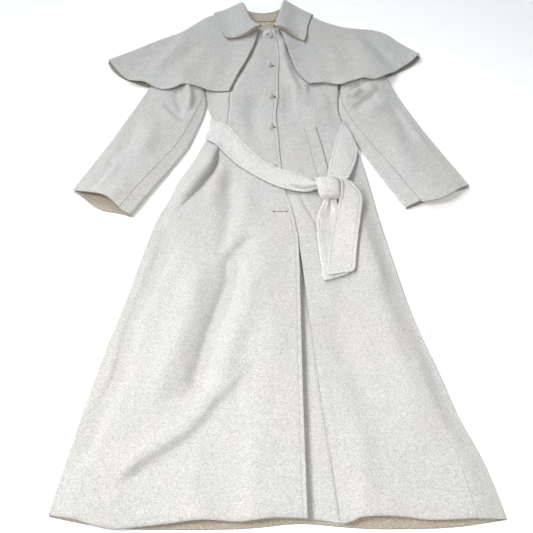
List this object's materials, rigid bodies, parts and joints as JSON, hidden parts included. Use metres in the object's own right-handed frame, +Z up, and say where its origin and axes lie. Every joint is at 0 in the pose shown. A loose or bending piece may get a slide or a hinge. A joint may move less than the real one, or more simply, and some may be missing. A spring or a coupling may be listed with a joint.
{
  "type": "belted wool coat with shoulder cape",
  "caption": "Full-length wool coat laid flat, with a shoulder cape, point collar, covered buttons, long sleeves and a tie belt knotted at the wearer's left.",
  "frame": {"origin": "middle of the bounding box, on the floor the coat lies on", "axes": "+X to the wearer's left, +Y from the hem to the collar, +Z up off the floor, from the coat's back to its front"},
  "size_m": [0.8924, 1.3464, 0.0391],
  "materials": {
    "wool": "light heathered greige wool coating, brushed and matte",
    "cape_wool": "the same wool coating, faced and topstitched along its edges",
    "belt_wool": "the same wool coating, a little lighter, topstitched on both edges",
    "button_wool": "buttons covered in the coat's wool"
  },
  "bodies": {
    "root": {"back": "wool", "front_right": "wool", "front_left": "wool", "front_left_underlap": "wool", "sleeve_right_under": "wool", "sleeve_right_top": "wool", "sleeve_left_under": "wool", "sleeve_left_top": "wool", "cape_back": "cape_wool", "cape_front_right": "cape_wool", "cape_front_left": "cape_wool", "collar_fall": "cape_wool", "collar_stand": "wool", "belt_back": "belt_wool", "belt_front_right": "belt_wool", "belt_front_left": "belt_wool", "belt_tail_back": "belt_wool", "belt_tail_front": "belt_wool", "belt_knot": "belt_wool", "pocket_welt_left": "wool", "button_1": "button_wool", "button_2": "button_wool", "button_3": "button_wool", "button_4": "button_wool", "button_5": "button_wool", "button_6": "button_wool"}
  },
  "joints": []
}
